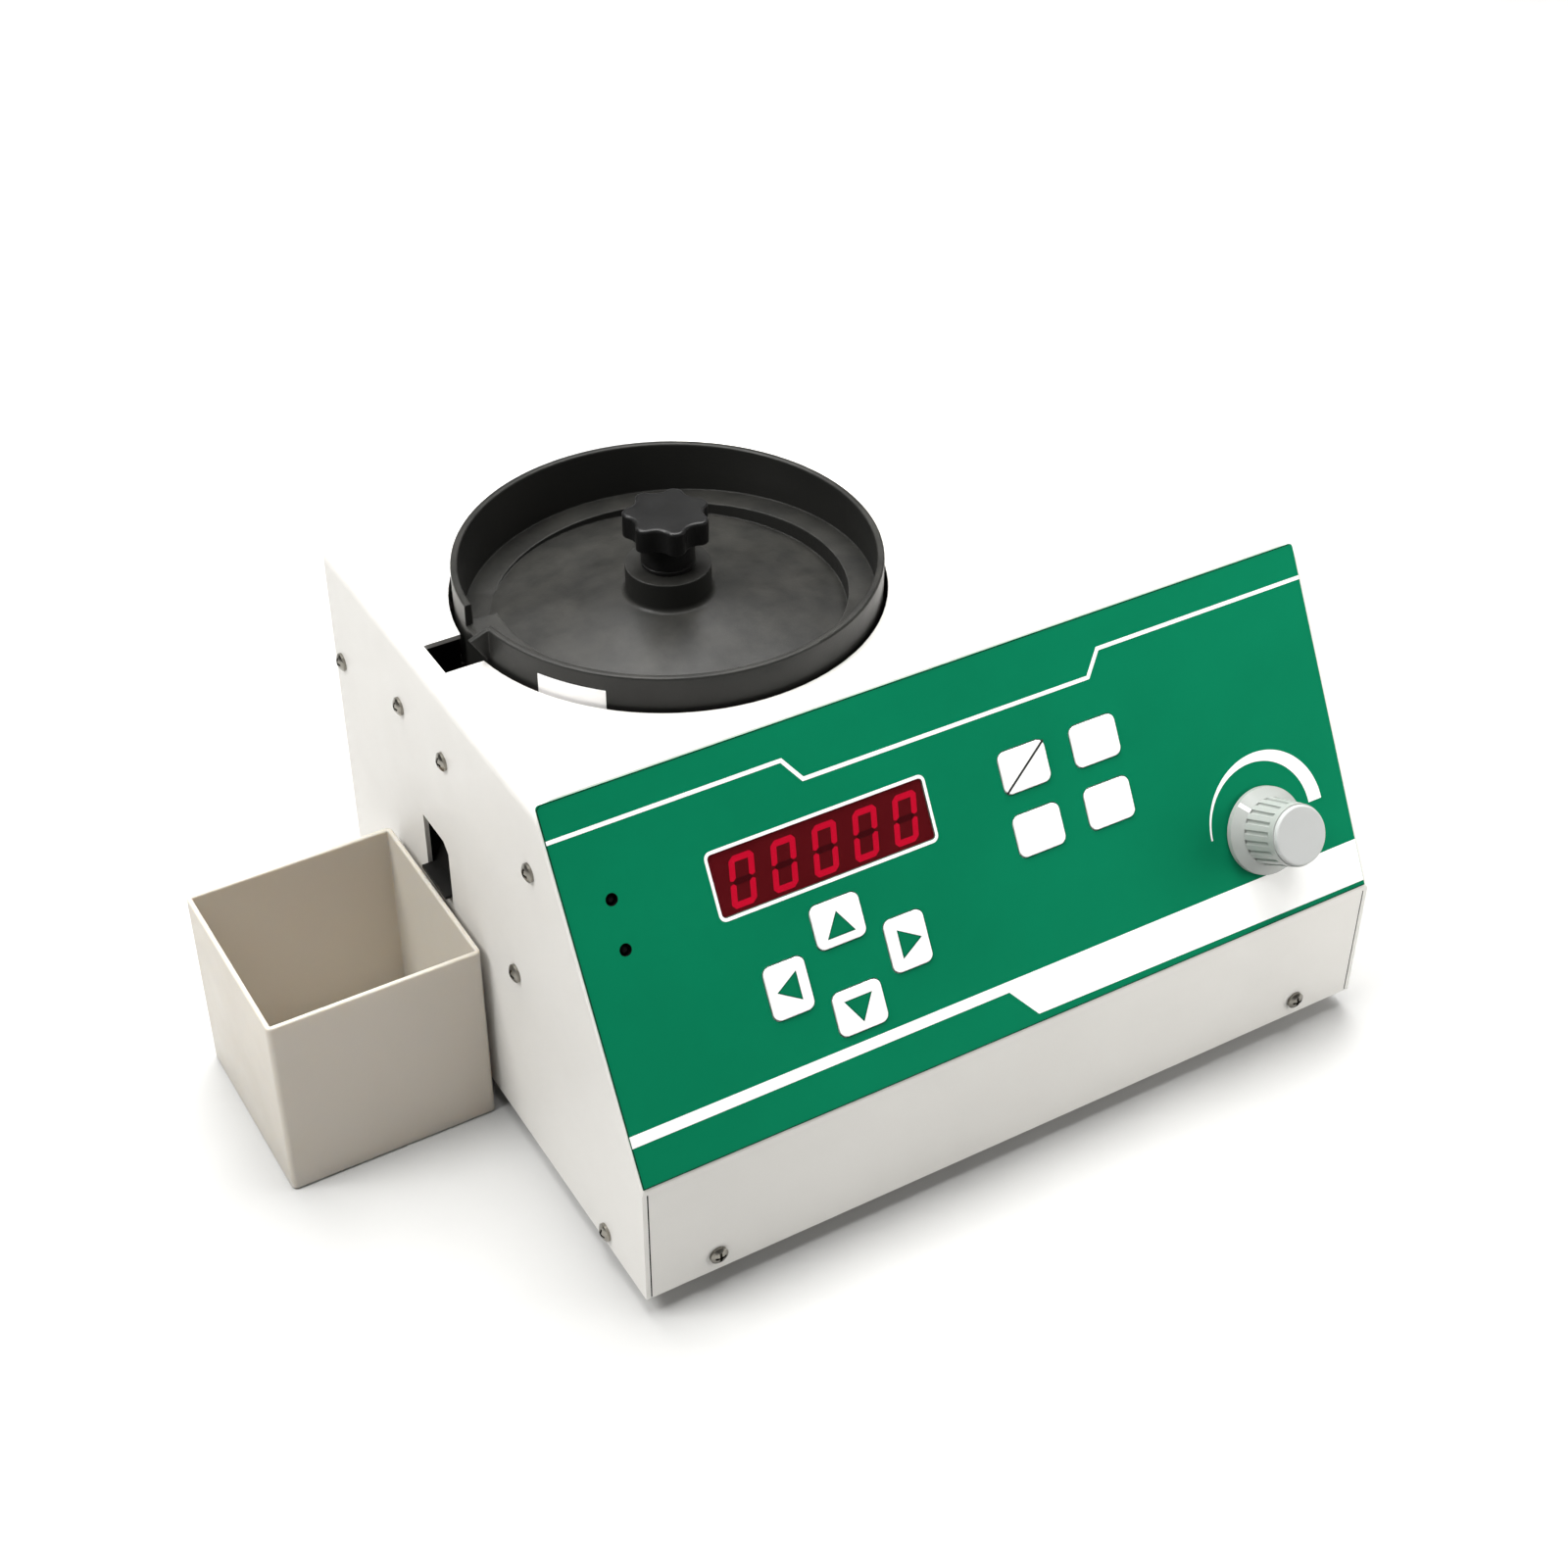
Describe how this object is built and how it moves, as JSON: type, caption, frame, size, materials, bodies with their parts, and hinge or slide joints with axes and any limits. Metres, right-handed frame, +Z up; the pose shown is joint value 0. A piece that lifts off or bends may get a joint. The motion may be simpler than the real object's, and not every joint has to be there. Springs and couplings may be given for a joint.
{
  "type": "seed counting machine",
  "caption": "Bench seed counter: white sheet-metal case with slanted green key panel, black vibrating bowl with clamp knob, counting chute and loose collection bin.",
  "frame": {"origin": "middle of the whole footprint, on the table", "axes": "+X to the user's right along the front, +Y to the rear, +Z up"},
  "size_m": [0.332, 0.2182, 0.175],
  "materials": {
    "cover_paint": "satin powder coat",
    "foot_rubber": "matt",
    "screw_steel": "plated",
    "overlay_film": "satin printed film",
    "display_filter": "gloss dark red filter",
    "digit_module": "matt dark face",
    "indicator_lens": "clear lens",
    "key_plastic": "satin",
    "board_laminate": "solder resist",
    "inner_plastic": "moulded",
    "plated_steel": "zinc plated",
    "knob_grey": "semi-gloss",
    "bowl_black": "matt moulded",
    "label_paper": "plain label",
    "star_black": "semi-gloss",
    "drive_aluminium": "turned",
    "drive_iron": "painted",
    "copper_winding": "enamelled wire under tape",
    "chute_plastic": "moulded",
    "fitting_black": "moulded",
    "pin_brass": "plated",
    "bin_cream": "semi-gloss moulded"
  },
  "bodies": {
    "chassis": {"housing_cover": "cover_paint", "base_plate": "cover_paint", "rear_panel": "cover_paint", "rubber_feet": "foot_rubber", "foot_screws": "screw_steel", "case_screws": "screw_steel", "panel_overlay": "overlay_film", "display_window": "display_filter", "display_digits": "digit_module", "indicator_lights": "indicator_lens", "key_switches": "inner_plastic", "control_board": "board_laminate", "board_standoffs": "plated_steel", "board_bracket": "plated_steel", "potentiometer": "plated_steel", "potentiometer_nut": "screw_steel", "leaf_springs": "plated_steel", "spring_clamps_lower": "plated_steel", "magnet_core": "drive_iron", "magnet_coil": "copper_winding", "vibrator_base": "drive_iron", "vibrator_isolators": "foot_rubber", "drop_chute": "chute_plastic", "sensor_emitter": "inner_plastic", "sensor_receiver": "inner_plastic", "main_board": "board_laminate", "main_board_components": "inner_plastic", "transformer_core": "drive_iron", "transformer_winding": "copper_winding", "power_inlet": "fitting_black", "inlet_pins": "pin_brass", "fuse_holder": "fitting_black", "power_switch": "fitting_black", "wiring_leads": "inner_plastic", "ribbon_cable": "inner_plastic"},
    "bowl_unit": {"bowl": "bowl_black", "bowl_label": "label_paper", "clamp_stud": "plated_steel", "bowl_seat": "drive_aluminium", "armature_plate": "drive_aluminium", "armature": "drive_iron", "spring_clamps_upper": "plated_steel"},
    "clamp_washer": {"clamp_washer": "plated_steel"},
    "clamp_knob": {"clamp_knob": "star_black"},
    "vibration_knob": {"vibration_knob": "knob_grey", "knob_cap": "knob_grey", "potentiometer_shaft": "plated_steel"},
    "power_rocker": {"power_rocker": "fitting_black"},
    "fuse_cap": {"fuse_cap": "fitting_black"},
    "collection_bin": {"collection_bin": "bin_cream"},
    "key_up": {"key_up": "key_plastic"},
    "key_down": {"key_down": "key_plastic"},
    "key_left": {"key_left": "key_plastic"},
    "key_right": {"key_right": "key_plastic"},
    "key_upper_left": {"key_upper_left": "key_plastic"},
    "key_upper_right": {"key_upper_right": "key_plastic"},
    "key_lower_left": {"key_lower_left": "key_plastic"},
    "key_lower_right": {"key_lower_right": "key_plastic"}
  },
  "joints": [
    {"name": "bowl_vibration", "type": "hinge", "parent": "chassis", "child": "bowl_unit", "pos_m": [-0.01388, 0.02897, 0.0977], "axis": [0, 0, 1], "range_deg": [-0.4, 0.4], "stiffness_Nm_per_rad": 20},
    {"name": "clamp_rise", "type": "slide", "parent": "bowl_unit", "child": "clamp_washer", "axis": [0, 0, 1], "range_m": [0, 0.0016]},
    {"name": "clamp_turn", "type": "hinge", "parent": "clamp_washer", "child": "clamp_knob", "pos_m": [-0.01388, 0.02897, 0.1674], "axis": [0, 0, 1], "range_deg": [0, 720]},
    {"name": "vibration_turn", "type": "hinge", "parent": "chassis", "child": "vibration_knob", "pos_m": [0.12922, -0.08804, 0.07812], "axis": [0, 0.8674, -0.4976], "range_deg": [-104, 176]},
    {"name": "power_tilt", "type": "hinge", "parent": "chassis", "child": "power_rocker", "pos_m": [0.05002, 0.09767, 0.095], "axis": [1, 0, 0], "range_deg": [0, 20]},
    {"name": "fuse_turn", "type": "hinge", "parent": "chassis", "child": "fuse_cap", "pos_m": [0.08002, 0.10177, 0.095], "axis": [0, 1, 0], "range_deg": [0, 60]},
    {"name": "bin_pull", "type": "slide", "parent": "chassis", "child": "collection_bin", "axis": [-1, 0, 0], "range_m": [0, 0.12]},
    {"name": "press_up", "type": "slide", "parent": "chassis", "child": "key_up", "axis": [0, 0.8674, -0.4976], "range_m": [0, 0.0004], "stiffness_N_per_m": 400},
    {"name": "press_down", "type": "slide", "parent": "chassis", "child": "key_down", "axis": [0, 0.8674, -0.4976], "range_m": [0, 0.0004], "stiffness_N_per_m": 400},
    {"name": "press_left", "type": "slide", "parent": "chassis", "child": "key_left", "axis": [0, 0.8674, -0.4976], "range_m": [0, 0.0004], "stiffness_N_per_m": 400},
    {"name": "press_right", "type": "slide", "parent": "chassis", "child": "key_right", "axis": [0, 0.8674, -0.4976], "range_m": [0, 0.0004], "stiffness_N_per_m": 400},
    {"name": "press_upper_left", "type": "slide", "parent": "chassis", "child": "key_upper_left", "axis": [0, 0.8674, -0.4976], "range_m": [0, 0.0004], "stiffness_N_per_m": 400},
    {"name": "press_upper_right", "type": "slide", "parent": "chassis", "child": "key_upper_right", "axis": [0, 0.8674, -0.4976], "range_m": [0, 0.0004], "stiffness_N_per_m": 400},
    {"name": "press_lower_left", "type": "slide", "parent": "chassis", "child": "key_lower_left", "axis": [0, 0.8674, -0.4976], "range_m": [0, 0.0004], "stiffness_N_per_m": 400},
    {"name": "press_lower_right", "type": "slide", "parent": "chassis", "child": "key_lower_right", "axis": [0, 0.8674, -0.4976], "range_m": [0, 0.0004], "stiffness_N_per_m": 400}
  ],
  "couplings": [
    {"joint": "clamp_turn", "follows": "clamp_rise", "rad_per_m": 7854}
  ]
}
